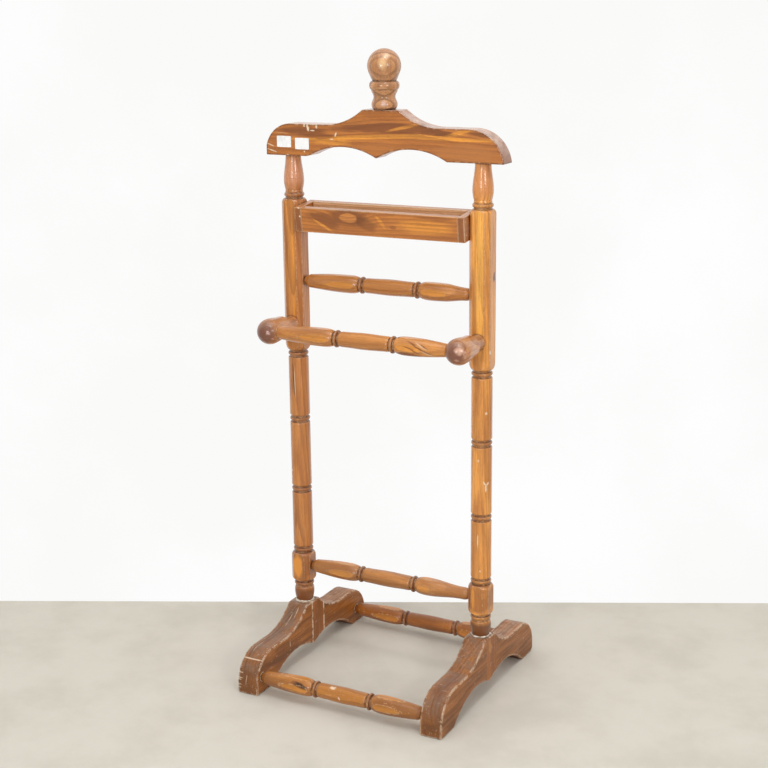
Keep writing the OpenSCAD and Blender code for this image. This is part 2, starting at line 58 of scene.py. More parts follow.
def fill(tree, sockets, inputs):
    for key, value in inputs.items():
        if isinstance(value, bpy.types.NodeSocket):
            tree.links.new(value, sockets[key])
        else:
            sockets[key].default_value = value


def addNode(tree, kind, inputs=None, **settings):
    node = tree.nodes.new(kind)
    node.location = (190 * (len(tree.nodes) % 12), -260 * (len(tree.nodes) // 12))
    for key, value in settings.items():
        setattr(node, key, value)
    fill(tree, node.inputs, inputs or {})
    return node


def calc(tree, operation, *values, clamp=False):
    inputs = dict(enumerate(values))
    return addNode(tree, "ShaderNodeMath", inputs, operation=operation, use_clamp=clamp).outputs[0]


def times(tree, *values):
    total = values[0]
    for value in values[1:]:
        total = calc(tree, "MULTIPLY", total, value)
    return total


def vector(tree, operation, *values, out=0, **named):
    inputs = dict(enumerate(values), **named)
    return addNode(tree, "ShaderNodeVectorMath", inputs, operation=operation).outputs[out]


# A soft step from 0 at low to 1 at high
def ramp(tree, value, low, high):
    return addNode(tree, "ShaderNodeMapRange", {"Value": value, "From Min": low, "From Max": high},
                   interpolation_type="SMOOTHSTEP").outputs[0]


def mix(tree, share, under, over):
    return addNode(tree, "ShaderNodeMix", {0: share, 6: under, 7: over}, data_type="RGBA").outputs[2]


def noiseOf(tree, place, scale, detail=2.0, roughness=0.5):
    return addNode(tree, "ShaderNodeTexNoise", {"Vector": place, "Scale": scale, "Detail": detail,
                                                "Roughness": roughness}).outputs


# Relief of a given depth in millimetres
def bump(tree, height, strength, depth):
    return addNode(tree, "ShaderNodeBump", {"Height": height, "Strength": strength,
                                            "Distance": depth * mm}).outputs[0]


# A place measured from a point, in units of its own size, turned by angles in degrees
def around(tree, place, at, size, turn=(0, 0, 0)):
    return addNode(tree, "ShaderNodeMapping", {
        "Vector": place, "Location": [value * mm for value in at],
        "Rotation": [math.radians(angle) for angle in turn],
        "Scale": [value * mm for value in size]}, vector_type="TEXTURE").outputs[0]


def newMaterial(name):
    material = bpy.data.materials.new(name)
    material.use_nodes = True
    material.node_tree.nodes.clear()
    return material, material.node_tree


def placeIn(tree):
    return addNode(tree, "ShaderNodeTexCoord").outputs["Object"]


def newGroup(name, inputs, outputs):
    tree = bpy.data.node_groups.new(name, "ShaderNodeTree")
    for key, value in inputs.items():
        kind = "NodeSocketVector" if isinstance(value, tuple) else "NodeSocketFloat"
        tree.interface.new_socket(key, in_out="INPUT", socket_type=kind).default_value = value
    for key in outputs:
        tree.interface.new_socket(key, in_out="OUTPUT", socket_type="NodeSocketFloat")
    return tree, tree.nodes.new("NodeGroupInput").outputs, tree.nodes.new("NodeGroupOutput").inputs


def useGroup(tree, group, inputs):
    node = addNode(tree, "ShaderNodeGroup", node_tree=group)
    fill(tree, node.inputs, inputs)
    return node.outputs


# Ends a material with one surface
def surface(tree, inputs):
    shader = addNode(tree, "ShaderNodeBsdfPrincipled", inputs).outputs[0]
    addNode(tree, "ShaderNodeOutputMaterial", {"Surface": shader})


def newObject(name, data):
    item = bpy.data.objects.new(name, data)
    bpy.context.scene.collection.objects.link(item)
    return item


def addPiece(name, points, faces, material, smooth=False):
    mesh = bpy.data.meshes.new(name)
    mesh.from_pydata(points, [], faces)
    mesh.materials.append(material)
    if smooth:
        mesh.shade_smooth()
    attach(newObject(name, mesh), "root")


camera = {
    "place": (1.1738, -2.2256, 1.2),
    "lens": 69.52,
    "azimuth": 27.91,
    "elevation": 14.58,
    "roll": -0.66,
}


def makeCamera():
    turn, rise, roll = (math.radians(camera[key]) for key in ("azimuth", "elevation", "roll"))
    back = Vector((math.sin(turn) * math.cos(rise), -math.cos(turn) * math.cos(rise), math.sin(rise)))
    level = Vector((math.cos(turn), math.sin(turn), 0))
    right = math.cos(roll) * level + math.sin(roll) * back.cross(level)
    axes = Matrix((right, back.cross(right), back)).transposed().to_4x4()
    data = bpy.data.cameras.new("camera")
    data.lens = camera["lens"]
    eye = newObject("camera", data)
    eye.matrix_world = Matrix.Translation(camera["place"]) @ axes
    bpy.context.scene.camera = eye


stage = {
    "backPoint": (-0.158, 0.277),
    "backTurn": 25.8,
    "size": 9.0,
    "backShade": shade(250, 250, 249),
    "backCloud": shade(254, 254, 254),
    "floorShade": shade(209, 204, 193),
    "floorCloud": shade(199, 194, 182),
    "world": 0.56,
}


def sheetOf(name, corners, material):
    mesh = bpy.data.meshes.new(name)
    mesh.from_pydata(corners, [], [(0, 1, 2, 3)])
    mesh.materials.append(material)
    newObject(name, mesh)


# A white backdrop that glows for the eye alone and is clear from behind
def backdropMaterial():
    material, tree = newMaterial("backdrop")
    place = placeIn(tree)
    cloud = ramp(tree, noiseOf(tree, place, 2.2, 5.0)[0], 0.4, 0.7)
    colour = mix(tree, cloud, stage["backShade"], stage["backCloud"])
    paper = addNode(tree, "ShaderNodeBsdfDiffuse", {"Color": colour}).outputs[0]
    glow = addNode(tree, "ShaderNodeEmission", {"Color": colour, "Strength": 1.0}).outputs[0]
    rays = addNode(tree, "ShaderNodeLightPath").outputs
    seen = calc(tree, "MAXIMUM", rays["Is Camera Ray"], rays["Is Glossy Ray"])
    lit = addNode(tree, "ShaderNodeMixShader", {0: seen, 1: paper, 2: glow}).outputs[0]
    clear = addNode(tree, "ShaderNodeBsdfTransparent").outputs[0]
    behind = addNode(tree, "ShaderNodeNewGeometry").outputs["Backfacing"]
    both = addNode(tree, "ShaderNodeMixShader", {0: behind, 1: lit, 2: clear}).outputs[0]
    addNode(tree, "ShaderNodeOutputMaterial", {"Surface": both})
    return material


def floorMaterial():
    material, tree = newMaterial("floor")
    place = placeIn(tree)
    cloud = noiseOf(tree, place, 5.0, 8.0, 0.65)[0]
    colour = mix(tree, ramp(tree, cloud, 0.4, 0.68), stage["floorShade"], stage["floorCloud"])
    surface(tree, {"Base Color": colour, "Roughness": 0.8})
    return material


def makeStage():
    size = stage["size"]
    turn = math.radians(stage["backTurn"])
    along = Vector((math.cos(turn), math.sin(turn), 0)) * size
    foot = Vector((*stage["backPoint"], 0))
    top = Vector((0, 0, size))
    corners = (foot - along, foot + along, foot + along + top, foot - along + top)
    sheetOf("backdrop", corners, backdropMaterial())
    corners = ((-size, -size, 0), (size, -size, 0), (size, size, 0), (-size, size, 0))
    sheetOf("floor", corners, floorMaterial())
    world = bpy.data.worlds.new("softLight")
    world.use_nodes = True
    fill(world.node_tree, world.node_tree.nodes["Background"].inputs,
         {"Color": (1, 1, 1, 1), "Strength": stage["world"]})
    bpy.context.scene.world = world


# A soft panel overhead, and three lamps that leave soft spots on the varnish
lamps = {
    "highPanel": {"place": (0.15, -0.55, 3.4), "target": (0, 0, 0.5), "size": 2.6, "power": 36},
    "leftLamp": {"place": (0.26, -2.73, 1.15), "target": (0, 0, 0.7), "size": 0.34, "power": 15},
    "rightLamp": {"place": (2.07, -1.68, 1.45), "target": (0, 0, 0.7), "size": 0.34, "power": 15},
    "highLamp": {"place": (0.63, -0.95, 2.95), "target": (0, 0, 0.7), "size": 0.3, "power": 7},
}


def makeLamps():
    for name, values in lamps.items():
        data = bpy.data.lights.new(name, "AREA")
        data.size = values["size"]
        data.energy = values["power"]
        lamp = newObject(name, data)
        lamp.location = values["place"]
        aim = Vector(values["target"]) - lamp.location
        lamp.rotation_euler = aim.to_track_quat("-Z", "Y").to_euler()


makeCamera()
makeStage()
makeLamps()
bpy.context.scene.view_settings.view_transform = "Standard"
print("camera, backdrop and lamps in place")


# Growth rings, fibres and stain clouds of pine.
# Place is in millimetres in the log's own frame, with the pith on Z.
def makeRings():
    tree, given, result = newGroup(
        "pineRings",
        {"Place": (0.0, 0.0, 0.0), "Ring Width": 4.0, "Wave": 8.0, "Shift": 0.0, "Seed": 0.0},
        ("Late", "Fibre", "Cloud", "Fleck"))
    seed = addNode(tree, "ShaderNodeCombineXYZ", {axis: given["Seed"] for axis in "XYZ"}).outputs[0]

    def grainNoise(across, along, detail=2.0):
        squeezed = vector(tree, "MULTIPLY", given["Place"], (1 / across, 1 / across, 1 / along))
        return noiseOf(tree, vector(tree, "ADD", squeezed, seed), 1.0, detail)

    drift = vector(tree, "SUBTRACT", grainNoise(70, 240)[1], (0.5, 0.5, 0.5))
    drift = vector(tree, "SCALE", drift, Scale=given["Wave"])
    bent = vector(tree, "MULTIPLY", vector(tree, "ADD", given["Place"], drift), (1, 1, 0))
    phase = calc(tree, "DIVIDE", vector(tree, "LENGTH", bent, out=1), given["Ring Width"])
    phase = calc(tree, "ADD", phase, given["Shift"])
    phase = calc(tree, "ADD", phase, times(tree, grainNoise(14, 90, 3.0)[0], 0.35))
    part = calc(tree, "FRACT", phase)
    year = calc(tree, "ADD", calc(tree, "FLOOR", phase), given["Seed"])
    luck = addNode(tree, "ShaderNodeTexWhiteNoise", {"W": year}, noise_dimensions="1D").outputs["Value"]
    depth = calc(tree, "ADD", times(tree, luck, 0.65), 0.35)
    late = times(tree, ramp(tree, part, 0.2, 0.9), ramp(tree, part, 1.0, 0.93), depth)
    fill(tree, result, {
        "Late": late,
        "Fibre": ramp(tree, grainNoise(2.4, 70, 3.0)[0], 0.4, 0.64),
        "Cloud": ramp(tree, grainNoise(24, 130, 3.0)[0], 0.36, 0.66),
        "Fleck": ramp(tree, grainNoise(0.9, 9, 2.0)[0], 0.5, 0.74)})
    return tree


# Where the surface turns away from its own softened normal: the whole rim, and the parts rubbed bare,
# which pine() paints pale as wear and, on small crests, as a painted highlight
def makeEdges():
    tree, given, result = newGroup(
        "edgeWearAndHighlight", {"Place": (0.0, 0.0, 0.0), "Patchy": 0.5, "Reach": 2.5}, ("Rim", "Mask"))
    reach = times(tree, given["Reach"], mm)
    soft = addNode(tree, "ShaderNodeBevel", {"Radius": reach}, samples=6).outputs[0]
    hard = addNode(tree, "ShaderNodeNewGeometry").outputs["Normal"]
    edge = ramp(tree, vector(tree, "DOT_PRODUCT", soft, hard, out=1), 0.995, 0.93)
    rubbed = noiseOf(tree, given["Place"], 0.12, 5.0, 0.65)[0]
    wearAndHighlight = ramp(tree, calc(tree, "SUBTRACT", rubbed, times(tree, given["Patchy"], 0.3)), 0.28, 0.4)
    fill(tree, result, {"Rim": edge, "Mask": times(tree, edge, wearAndHighlight)})
    return tree


# Stain and dirt that stay in grooves and corners, and painted shade: each groove, corner and gap between
# parts is darkened as far as it is closed in
def makeGrooves():
    tree, given, result = newGroup("grooveStainAndShade", {"Reach": 5.0}, ("Mask",))
    reach = times(tree, given["Reach"], mm)
    hollow = addNode(tree, "ShaderNodeAmbientOcclusion", {"Distance": reach}, samples=6)
    fill(tree, result, {"Mask": ramp(tree, hollow.outputs["AO"], 0.92, 0.5)})
    return tree


# A ragged spot: Place is 0 at its middle and 1 long at its rim
def makeSpot():
    tree, given, result = newGroup(
        "raggedSpot", {"Place": (0.0, 0.0, 0.0), "Ragged": 0.6, "Grit": 2.0, "Soft": 0.15}, ("Mask",))
    grit = calc(tree, "SUBTRACT", noiseOf(tree, given["Place"], given["Grit"], 3.0)[0], 0.5)
    away = vector(tree, "LENGTH", given["Place"], out=1)
    away = calc(tree, "ADD", away, times(tree, grit, given["Ragged"], 2.0))
    inside = calc(tree, "DIVIDE", calc(tree, "SUBTRACT", 1.0, away), given["Soft"], clamp=True)
    fill(tree, result, {"Mask": inside})
    return tree


# Fine pale scratches that run three ways, gathered where the wood was knocked most
def makeScratches():
    tree, given, result = newGroup("scratches", {"Place": (0.0, 0.0, 0.0), "Amount": 0.3}, ("Mask",))
    ways = (((0.05, 0.8, 0.8), 0.7), ((0.8, 0.8, 0.05), -0.45), ((0.7, 0.06, 0.7), 0.35))
    broken = ramp(tree, noiseOf(tree, given["Place"], 0.16, 3.0)[0], 0.5, 0.6)
    lines = 0.0
    for squeeze, turn in ways:
        turned = (turn, 0.7 * turn, turn)
        way = addNode(tree, "ShaderNodeMapping", {
            "Vector": given["Place"], "Rotation": turned, "Scale": squeeze}).outputs[0]
        lines = calc(tree, "MAXIMUM", ramp(tree, noiseOf(tree, way, 1.3, 1.0)[0], 0.68, 0.74), lines)
    knocked = noiseOf(tree, given["Place"], 0.04)[0]
    gather = ramp(tree, calc(tree, "ADD", knocked, times(tree, given["Amount"], 0.5)), 0.55, 0.8)
    fill(tree, result, {"Mask": times(tree, lines, broken, gather)})
    return tree


rings = makeRings()
edges = makeEdges()
grooves = makeGrooves()
spot = makeSpot()
scratches = makeScratches()
print("shader groups built")


# Which way the grain runs, as angles that turn Z onto it
upright, acrossX, alongY = (0, 0, 0), (0, 90, 0), (90, 0, 0)

gold = shade(246, 164, 60)
honey = shade(224, 144, 62)
brown = shade(134, 76, 34)
darkBrown = shade(82, 44, 20)
redBrown = shade(104, 60, 40)
pale = shade(238, 214, 184)

pineLook = {
    "light": honey,
    "late": brown,
    "cloud": shade(170, 100, 46),
    "groove": shade(66, 36, 22),
    "endGrain": shade(116, 64, 38),
    "wearAndHighlight": shade(232, 196, 154),
    "dustAndSheenColour": shade(150, 130, 112),
    "lateStrength": 0.6,
    "cloudStrength": 0.6,
    "fibreStrength": 0.22,
    "fleckStrength": 0.3,
    "endStrength": 0.6,
    "grooveStrength": 0.7,
    "grooveReach": 4.0,
    "edgeReach": 2.5,
    "rimStrength": 0.25,
    "wearAndHighlightStrength": 0.55,
    "patchy": 0.6,
    "scratches": 0.0,
    "scratchStrength": 0.6,
    "dustAndSheen": 0.0,
    "dustAndSheenLines": 0.8,
    "plainJoints": (),
    "ringWidth": 5.2,
    "wave": 9.0,
    "relief": 0.4,
    "roughness": 0.34,
    "fibreRough": 0.12,
    "wornRough": 0.2,
    "specular": 0.35,
    "coat": 0.7,
    "coatLost": 0.8,
    "coatRough": 0.2,
    "bands": None,
    "flats": None,
}


# A spot of stain, under the grain, or of bare wood, a crack or a painted highlight, over it
def patch(at, size, colour, strength=0.7, turn=(0, 0, 0), ragged=0.5, grit=1.6, soft=0.35, over=None):
    if over is None:
        over = colour == pale
    return {"at": at, "size": size, "colour": colour, "strength": strength, "turn": turn,
            "ragged": ragged, "grit": grit, "soft": soft, "over": over}


def painted(tree, place, colour, patches, over):
    for item in patches:
        if item["over"] == over:
            away = around(tree, place, item["at"], item["size"], item["turn"])
            mask = useGroup(tree, spot, {"Place": away, "Ragged": item["ragged"], "Grit": item["grit"],
                                         "Soft": item["soft"]})["Mask"]
            colour = mix(tree, times(tree, mask, item["strength"]), colour, item["colour"])
    return colour


# 1 near each of some places along an axis
def bandMask(tree, parts, bands):
    along = parts[bands["axis"]]
    mask = 0.0
    for at in bands["at"]:
        away = calc(tree, "ABSOLUTE", calc(tree, "SUBTRACT", along, at))
        mask = calc(tree, "MAXIMUM", ramp(tree, away, bands["half"] + 1.5, bands["half"] - 1.5), mask)
    return mask


# 1 on the sawn faces that stand farthest from a turned piece's axis, and 1 on the ridge round them
def flatMasks(tree, parts, flats):
    reach = 0.0
    for axis, middle in flats["middle"].items():
        away = calc(tree, "ABSOLUTE", calc(tree, "SUBTRACT", parts[axis], middle))
        reach = calc(tree, "MAXIMUM", away, reach)
    flat = ramp(tree, reach, flats["half"] - 0.25, flats["half"] - 0.05)
    close = ramp(tree, reach, flats["half"] - 0.9, flats["half"] - 0.4)
    return flat, times(tree, close, calc(tree, "SUBTRACT", 1.0, flat))


def pine(name, grain, pith, seed, patches=(), bumps=(), tilt=(0, 0), **changes):
    look = dict(pineLook, **changes)
    bands, flats = look["bands"], look["flats"]
    material, tree = newMaterial(name)
    coordinates = addNode(tree, "ShaderNodeTexCoord").outputs
    place, normal = coordinates["Object"], coordinates["Normal"]
    inMm = vector(tree, "SCALE", place, Scale=1 / mm)
    parts = addNode(tree, "ShaderNodeSeparateXYZ", {0: inMm}).outputs
    turn = Euler([math.radians(angle) for angle in grain]).to_matrix()
    lean = Euler([math.radians(angle) for angle in (*tilt, 0)]).to_matrix()
    turned = [math.degrees(angle) for angle in (turn @ lean).to_euler()]

    shift = 0.0
    for knot in bumps:
        lump = around(tree, place, knot["at"], knot["size"])
        fade = calc(tree, "EXPONENT", times(tree, vector(tree, "DOT_PRODUCT", lump, lump, out=1), -1.0))
        shift = calc(tree, "ADD", times(tree, fade, knot["height"]), shift)
    log = around(tree, place, pith, (1, 1, 1), turned)
    wood = useGroup(tree, rings, {"Place": log, "Seed": seed, "Ring Width": look["ringWidth"],
                                  "Wave": look["wave"], "Shift": shift})

    colour = mix(tree, times(tree, wood["Cloud"], look["cloudStrength"]), look["light"], look["cloud"])
    if flats:
        flat, ridge = flatMasks(tree, parts, flats)
        colour = mix(tree, times(tree, flat, flats["strength"]), colour, flats["colour"])
    colour = painted(tree, place, colour, patches, False)

    # One more layer on the colour so far
    def laid(mask, strength, tone):
        return mix(tree, times(tree, mask, look[strength]), colour, look[tone])

    colour = laid(wood["Late"], "lateStrength", "late")
    colour = laid(wood["Fibre"], "fibreStrength", "late")
    colour = laid(wood["Fleck"], "fleckStrength", "late")
    facing = vector(tree, "DOT_PRODUCT", normal, turn @ Vector((0, 0, 1)), out=1)
    ends = ramp(tree, calc(tree, "ABSOLUTE", facing), 0.35, 0.95)
    colour = laid(ends, "endStrength", "endGrain")
    if bands:
        band = times(tree, bandMask(tree, parts, bands), bands["strength"])
        colour = mix(tree, band, colour, bands["colour"])
    # Darker in grooves, corners and gaps between parts: part stain, part painted shade
    stainAndShade = useGroup(tree, grooves, {"Reach": look["grooveReach"]})["Mask"]
    colour = laid(stainAndShade, "grooveStrength", "groove")
    # Faces that look up are tinted: dust, and a painted sheen from the bright room above
    if look["dustAndSheen"]:
        up = ramp(tree, vector(tree, "DOT_PRODUCT", normal, (0, 0, 1), out=1), 0.1, 0.8)
        lain = ramp(tree, noiseOf(tree, inMm, 0.06, 5.0)[0], 0.24, 0.66)
        between = calc(tree, "SUBTRACT", 1.0, times(tree, wood["Late"], look["dustAndSheenLines"]))
        colour = mix(tree, times(tree, up, lain, between, look["dustAndSheen"]), colour, look["dustAndSheenColour"])
    colour = painted(tree, place, colour, patches, True)
    edge = useGroup(tree, edges, {"Place": inMm, "Patchy": look["patchy"], "Reach": look["edgeReach"]})
    rim, wearAndHighlight = edge["Rim"], edge["Mask"]
    for joint in look["plainJoints"]:
        clear = ramp(tree, calc(tree, "ABSOLUTE", calc(tree, "SUBTRACT", parts["Y"], joint)), 3.0, 6.0)
        rim, wearAndHighlight = times(tree, rim, clear), times(tree, wearAndHighlight, clear)
    colour = laid(rim, "rimStrength", "groove")
    # Pale rubbed edges: real wear, and on bead crests a painted highlight
    colour = laid(wearAndHighlight, "wearAndHighlightStrength", "wearAndHighlight")
    # A pale broken line round the flats: worn ridges, and a painted highlight along them
    if flats:
        broken = ramp(tree, noiseOf(tree, inMm, 0.2, 3.0)[0], 0.42, 0.6)
        colour = mix(tree, times(tree, ridge, broken, flats["ridge"]), colour, look["wearAndHighlight"])
    if look["scratches"]:
        lines = useGroup(tree, scratches, {"Place": inMm, "Amount": look["scratches"]})["Mask"]
        colour = laid(lines, "scratchStrength", "wearAndHighlight")

    rough = calc(tree, "ADD", times(tree, wood["Fibre"], look["fibreRough"]), look["roughness"])
    rough = calc(tree, "ADD", rough, times(tree, wearAndHighlight, look["wornRough"]))
    height = calc(tree, "SUBTRACT", times(tree, wood["Late"], 0.5), times(tree, wood["Fibre"], 0.25))
    relief = bump(tree, height, 0.25, look["relief"])
    coat = 0.0
    if look["coat"]:
        lost = times(tree, wearAndHighlight, look["coatLost"] * look["coat"])
        coat = calc(tree, "SUBTRACT", look["coat"], lost)
    surface(tree, {
        "Base Color": colour, "Roughness": rough, "Normal": relief, "Coat Weight": coat,
        "Coat Roughness": look["coatRough"], "Specular IOR Level": look["specular"]})
    return material


def dress(name, material):
    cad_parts[name].material_slots[0].material = material


# How the reshaped copies that stand for some nodes are made, in millimetres and degrees
copies = {
    "weld": 0.01,
    "near": 0.02,
    "sameFace": 0.5,
    "corner": 30,
    "sawnSharp": 32,
    "turnedSharp": 14,
}


def copyOf(name):
    shape = bmesh.new()
    shape.from_mesh(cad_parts[name].data)
    bmesh.ops.remove_doubles(shape, verts=shape.verts, dist=copies["weld"] * mm)
    return shape


# Makes a reshaped copy of a node into the piece that stands for it
def standIn(name, shape, material, sharpFrom):
    mesh = bpy.data.meshes.new(name + "_soft")
    shape.to_mesh(mesh)
    shape.free()
    for key in ("custom_normal", "sharp_edge", "sharp_face"):
        if key in mesh.attributes:
            mesh.attributes.remove(mesh.attributes[key])
    mesh.shade_smooth()
    mesh.set_sharp_from_angle(angle=math.radians(sharpFrom))
    mesh.materials.clear()
    mesh.materials.append(material)
    piece = newObject(name + "_soft", mesh)
    even = piece.modifiers.new("evenShading", "WEIGHTED_NORMAL")
    even.keep_sharp = True
    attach(piece, "root")
    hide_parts(name)


# Rounds over the edges of a sawn piece that keep() picks
def softened(name, width, keep, material):
    shape = copyOf(name)
    flat, corner = (math.radians(copies[key]) for key in ("sameFace", "corner"))
    bmesh.ops.dissolve_limit(shape, angle_limit=flat, verts=shape.verts, edges=shape.edges)
    picked = [edge for edge in shape.edges
              if edge.is_manifold and edge.calc_face_angle(0) > corner and keep(edge)]
    bmesh.ops.bevel(shape, geom=picked, offset=width * mm, segments=3, profile=0.5, affect="EDGES",
                    clamp_overlap=False)
    standIn(name, shape, material, copies["sawnSharp"])


def edgeEnds(edge):
    return [vert.co / mm for vert in edge.verts]


def near(value, target):
    return abs(value - target) < copies["near"]


hanger = {
    "pith": (0, 34, 880),
    "tilt": (0, 1.2),
    "seed": 80.0,
    # Its tops are paler and greyer: dust, and a painted sheen
    "look": {
        "light": shade(198, 122, 52), "late": shade(116, 64, 28), "ringWidth": 7.5, "wave": 14.0,
        "lateStrength": 0.5, "cloudStrength": 0.4, "patchy": 0.75, "edgeReach": 5.0,
        "rimStrength": 0.8, "wearAndHighlightStrength": 0.6, "dustAndSheen": 0.75, "dustAndSheenColour": shade(204, 178, 164),
        "dustAndSheenLines": 0.15,
    },
    "rounding": 1.6,
    "knot": {"at": (30, -13, 1000), "size": (120, 60, 26), "height": -2.2},
    "patches": [
        patch((20, -13, 990), (110, 30, 9), brown, 0.85, turn=(0, -1, 0), ragged=0.6, soft=0.2),
        patch((-10, -13, 975), (190, 30, 4), gold, 0.9, turn=(0, -3, 0), ragged=0.4, soft=0.2),
        patch((-92, -13, 964), (44, 30, 6), gold, 0.7, ragged=0.5),
        patch((140, -13, 975.6), (90, 30, 3.2), gold, 0.85, ragged=0.4, soft=0.2),
        patch((104, -13, 985), (34, 30, 5.5), brown, 0.85, ragged=0.4, soft=0.2),
        patch((184, -13, 984), (26, 30, 3.6), darkBrown, 0.55, turn=(0, 6, 0), ragged=0.4),
        patch((148, -13, 987), (30, 30, 3.6), gold, 0.7, turn=(0, -14, 0), ragged=0.4),
        patch((44, -13, 992), (34, 30, 3.2), gold, 0.6, turn=(0, -12, 0), ragged=0.4),
        patch((-150, -13, 981), (56, 30, 8), brown, 0.8, ragged=0.5),
        patch((-118, -13, 973), (40, 30, 6), brown, 0.7, ragged=0.5),
        patch((-196, -13, 962), (24, 30, 12), shade(184, 110, 52), 0.5, ragged=0.6),
        patch((0, -13, 958), (44, 3, 11), shade(178, 112, 56), 0.45, over=True),
        patch((158, -13, 954), (70, 3, 17), shade(182, 116, 60), 0.6, ragged=0.4, over=True),
        patch((118, -13, 982), (22, 30, 3), darkBrown, 0.45, ragged=0.5),
        patch((4, -13, 1012), (52, 30, 12), shade(166, 96, 34), 0.6, ragged=0.5),
        *(patch((120, depth, 985), (140, 1.1, 70), shade(118, 80, 60), 0.6, ragged=0.3, grit=3.0,
                over=True) for depth in (-9, -3, 4, 12)),
    ],
    # Varnish knocked off the front
    "chips": [
        patch((-147.3, -13.5, 991), (2.2, 3, 3.6), pale, 0.9),
        patch((-141, -13.5, 989.5), (2.4, 3, 4.6), pale, 0.9),
        patch((-139.5, -13.5, 984.6), (2.6, 3, 4.4), pale, 1.0, ragged=0.7),
        patch((-131, -13.5, 982.2), (5.0, 3, 1.3), pale, 0.9, ragged=0.6),
        patch((-123, -13.5, 989.5), (2.2, 3, 4.4), pale, 0.9, ragged=0.7),
        patch((-134, -13.5, 993), (12, 3, 1.4), pale, 0.7, ragged=0.9, grit=3.0),
        patch((-85.6, -13.5, 976.8), (1.7, 3, 4.6), pale, 0.95, turn=(0, 22, 0)),
        patch((-93.4, -13.5, 968.6), (4.0, 3, 1.4), pale, 0.7),
        patch((-147.7, -13.5, 945.9), (1.6, 3, 1.6), pale, 0.9),
        patch((-181.1, -13.5, 939.4), (3.0, 3, 1.6), pale, 0.8),
        patch((-216, -13.5, 955.5), (9.0, 3, 1.3), pale, 0.7, turn=(0, 18, 0)),
        patch((-213, -13.5, 946), (12.0, 3, 1.2), pale, 0.8, turn=(0, 15, 0)),
        patch((-193, -13.5, 976.8), (16.0, 3, 0.9), shade(226, 168, 110), 0.6, turn=(0, 4, 0)),
    ],
}


def makeHanger():
    low, high = (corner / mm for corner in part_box("hanger_board"))

    def keep(edge):
        a, b = edgeEnds(edge)
        rim = any(near(a.y, y) and near(b.y, y) for y in (low.y, high.y))
        return rim or (near(a.x, b.x) and near(a.z, b.z))

    spots = hanger["patches"] + hanger["chips"]
    wood = pine("hangerPine", acrossX, hanger["pith"], hanger["seed"], spots, [hanger["knot"]],
                hanger["tilt"], **hanger["look"])
    softened("hanger_board", hanger["rounding"], keep, wood)


labels = {
    "left_label": {"from": (-202.7, 952.2), "to": (-174.2, 971.5), "lift": 0.5},
    "right_label": {"from": (-166.2, 949.5), "to": (-138.6, 969.0), "lift": 0.3},
    "paper": 0.12,
    "gap": 0.01,
    "corner": 1.0,
    "cornerFrom": 1.7,
    "liftReach": 0.35,
    "grid": (16, 12),
}


def paperMaterial():
    material, tree = newMaterial("labelPaper")
    place = placeIn(tree)
    cloud = noiseOf(tree, place, 90.0, 3.0)[0]
    fibre = noiseOf(tree, place, 2200.0, 2.0)[0]
    colour = mix(tree, ramp(tree, cloud, 0.45, 0.75), shade(246, 247, 247), shade(226, 230, 232))
    surface(tree, {"Base Color": colour, "Roughness": 0.6, "Normal": bump(tree, fibre, 0.15, 0.05)})
    return material


# Two blank paper labels, each a thin sheet whose lower left corner has begun to lift
def makeLabels():
    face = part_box("hanger_board")[0].y / mm
    paper = paperMaterial()
    reach = labels["liftReach"]
    columns, rows = labels["grid"]
    for name in ("left_label", "right_label"):
        (x0, z0), (x1, z1) = labels[name]["from"], labels[name]["to"]
        front, back = [], []
        for row in range(rows + 1):
            for column in range(columns + 1):
                u, v = column / columns, row / rows
                # Corners cut round by pulling the grid's corner points in
                out = abs(2 * u - 1) + abs(2 * v - 1)
                pull = labels["corner"] * max(0, out - labels["cornerFrom"])
                x = x0 + (x1 - x0) * u - pull * (1 if u > 0.5 else -1)
                z = z0 + (z1 - z0) * v - pull * (1 if v > 0.5 else -1)
                rise = labels[name]["lift"] * max(0, reach - math.hypot(u, v)) ** 2 / reach ** 2
                front.append((x * mm, (face - labels["paper"] - rise) * mm, z * mm))
                back.append((x * mm, (face - labels["gap"] - rise) * mm, z * mm))
        count = len(front)
        faces = []
        for row in range(rows):
            for column in range(columns):
                a = row * (columns + 1) + column
                quad = (a, a + 1, a + columns + 2, a + columns + 1)
                faces.append(quad)
                faces.append(tuple(count + corner for corner in reversed(quad)))
        rim = list(range(columns + 1))
        rim += [r * (columns + 1) + columns for r in range(1, rows + 1)]
        rim += [rows * (columns + 1) + c for c in range(columns - 1, -1, -1)]
        rim += [r * (columns + 1) for r in range(rows - 1, 0, -1)]
        for a, b in zip(rim, rim[1:] + rim[:1]):
            faces.append((b, a, count + a, count + b))
        addPiece(name, front + back, faces, paper)


makeHanger()
makeLabels()
print("hanger board and its labels done")


finial = {
    "pith": (-9, 24, 0),
    "seed": 92.0,
    "look": {
        "light": shade(216, 156, 104), "late": shade(84, 48, 26), "cloud": shade(168, 112, 68),
        "lateStrength": 0.85, "endStrength": 0.2, "ringWidth": 6.0, "wave": 3.5,
        "bands": {"axis": 2, "at": (1022, 1067), "half": 1.5, "colour": redBrown, "strength": 0.5},
    },
    "patches": [
        patch((-16, -9, 1066), (9, 9, 12), darkBrown, 0.5),
        # Painted highlights: soft pale spots on the ball's front and a light streak on the neck
        patch((10, -20, 1096), (9, 12, 13), shade(232, 190, 138), 0.8, ragged=0.3, soft=0.7, over=True),
        patch((15, -14, 1109), (8, 8, 6), shade(244, 210, 170), 0.6, ragged=0.3, soft=0.7, over=True),
        patch((9, -17, 1030), (6, 8, 7), shade(214, 184, 176), 0.7, soft=0.7, over=True),
        patch((-9, -17, 1040), (5, 12, 16), shade(112, 70, 46), 0.5, soft=0.7, over=True),
        # A painted highlight along the collar's edge
        patch((9, -22, 1056), (16, 9, 1.6), shade(232, 184, 140), 0.5, soft=0.6, over=True),
    ],
}


def makeFinial():
    dress("finial", pine("finialPine", upright, finial["pith"], finial["seed"], finial["patches"],
                         **finial["look"]))


makeFinial()


